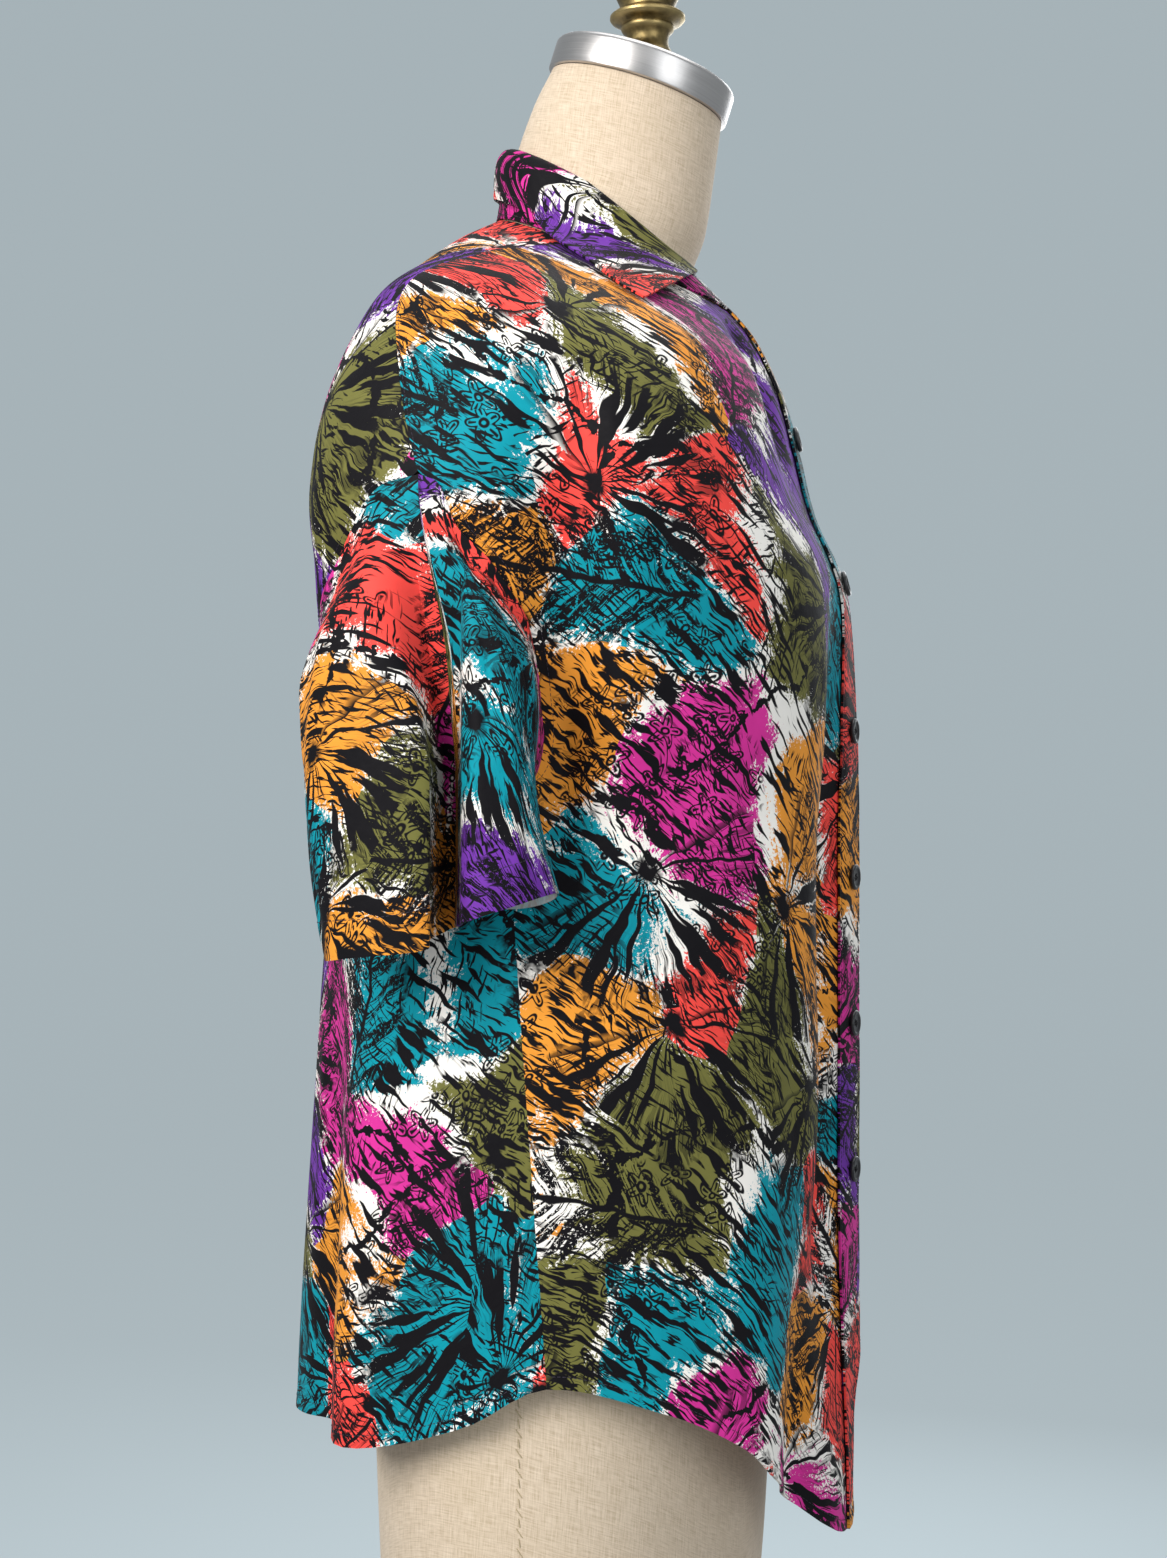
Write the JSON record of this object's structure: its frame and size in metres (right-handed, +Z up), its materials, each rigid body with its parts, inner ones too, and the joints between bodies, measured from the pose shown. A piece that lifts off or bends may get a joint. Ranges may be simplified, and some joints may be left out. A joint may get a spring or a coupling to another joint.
{
  "type": "hawaiian shirt on a dress form",
  "caption": "Short sleeved button front shirt with a turned down collar and a printed cloth, worn on a limbless dress form on a pole with a round foot.",
  "frame": {"origin": "middle of the stand's foot, on the floor", "axes": "+Z up, -Y the way the shirt's front faces, -X the wearer's right side"},
  "size_m": [0.5002, 0.42, 1.5764],
  "materials": {
    "shirt_cloth": "smooth printed rayon in teal, orange, coral, purple, magenta, olive and white with black line work",
    "button_plastic": "black, softly glossy",
    "form_canvas": "beige linen canvas",
    "cap_metal": "brushed",
    "finial_brass": "antique, worn on its edges",
    "stand_iron": "satin black"
  },
  "bodies": {
    "root": {"shirt_back": "shirt_cloth", "shirt_front_right": "shirt_cloth", "shirt_front_left": "shirt_cloth", "placket_right": "shirt_cloth", "placket_left": "shirt_cloth", "sleeve_right": "shirt_cloth", "sleeve_left": "shirt_cloth", "collar_stand": "shirt_cloth", "collar_fall": "shirt_cloth", "button_1": "button_plastic", "button_2": "button_plastic", "button_3": "button_plastic", "button_4": "button_plastic", "button_5": "button_plastic", "button_6": "button_plastic", "form_torso": "form_canvas", "neck_cap": "cap_metal", "finial": "finial_brass", "pole": "stand_iron", "base": "stand_iron"}
  },
  "joints": []
}
